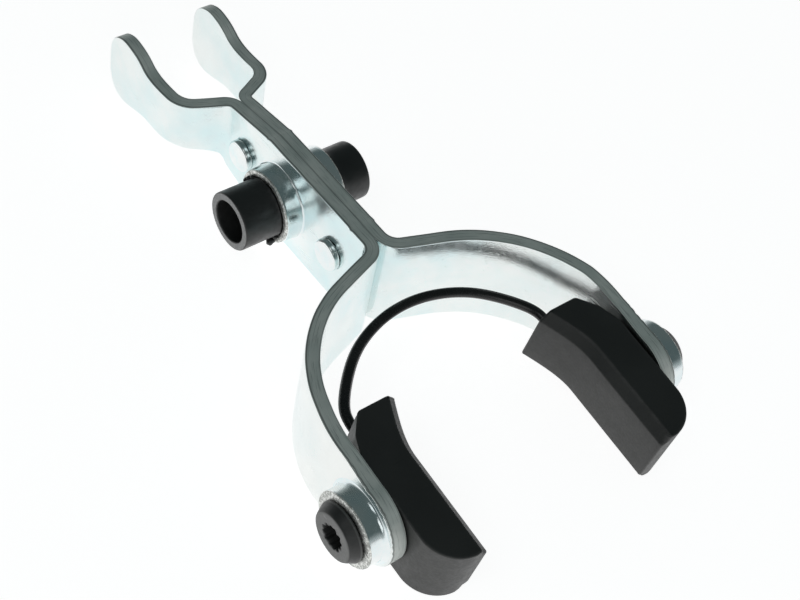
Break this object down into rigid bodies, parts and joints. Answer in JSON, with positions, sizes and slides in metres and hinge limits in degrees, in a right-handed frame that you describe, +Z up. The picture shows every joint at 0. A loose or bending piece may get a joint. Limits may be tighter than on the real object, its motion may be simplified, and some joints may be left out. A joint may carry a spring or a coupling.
{
  "type": "starter motor drive lever",
  "caption": "Riveted sheet-steel shift fork with open tines, a plastic bush through drawn collars, and a round yoke with swinging plastic shoes tied by a thin rod.",
  "frame": {"origin": "middle of the part's outline in plan, at the level of the arms' lower edges", "axes": "+X along the pivot and the shoe pins, +Y from the shoes towards the tines, +Z up, square to the fork's plane"},
  "size_m": [0.0896, 0.1544, 0.0243],
  "materials": {
    "zinc_plated_steel": "bright zinc plate on pressed sheet, with sheared edges",
    "rivet_steel": "bright zinc plate",
    "black_plastic": "satin moulded",
    "shoe_plastic": "fine-grained moulded"
  },
  "bodies": {
    "lever": {"left_arm": "zinc_plated_steel", "right_arm": "zinc_plated_steel", "pivot_bush": "black_plastic", "rivet_tine_side": "rivet_steel", "rivet_yoke_side": "rivet_steel"},
    "shoes": {"left_shoe": "shoe_plastic", "right_shoe": "shoe_plastic", "left_shoe_pin": "shoe_plastic", "right_shoe_pin": "shoe_plastic", "shoe_rod": "shoe_plastic"}
  },
  "joints": [
    {"name": "shoes_swing", "type": "hinge", "parent": "lever", "child": "shoes", "pos_m": [0, -0.05681, 0.0114], "axis": [1, 0, 0], "range_deg": [-25, 10]}
  ]
}
